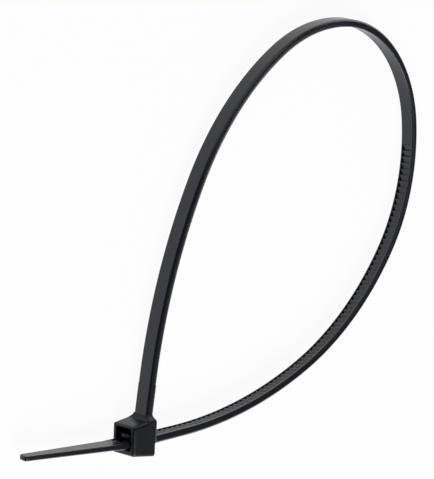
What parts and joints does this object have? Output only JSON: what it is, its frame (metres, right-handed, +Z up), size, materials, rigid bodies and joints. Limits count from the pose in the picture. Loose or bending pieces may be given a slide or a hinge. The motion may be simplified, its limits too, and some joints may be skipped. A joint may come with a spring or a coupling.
{
  "type": "cable tie",
  "caption": "Black nylon cable tie closed into a teardrop loop, with a box head, an inner pawl, a ratchet-toothed strap and a tapered tail.",
  "frame": {"origin": "middle of the head's lower side face, the one it lies on", "axes": "+X out of the slot's entry into the loop, +Y along the strap as it leaves the head, +Z up across the width of the strap"},
  "size_m": [0.0797, 0.061, 0.0041],
  "materials": {
    "black_nylon": "satin"
  },
  "bodies": {
    "root": {"cable_tie": "black_nylon"}
  },
  "joints": []
}
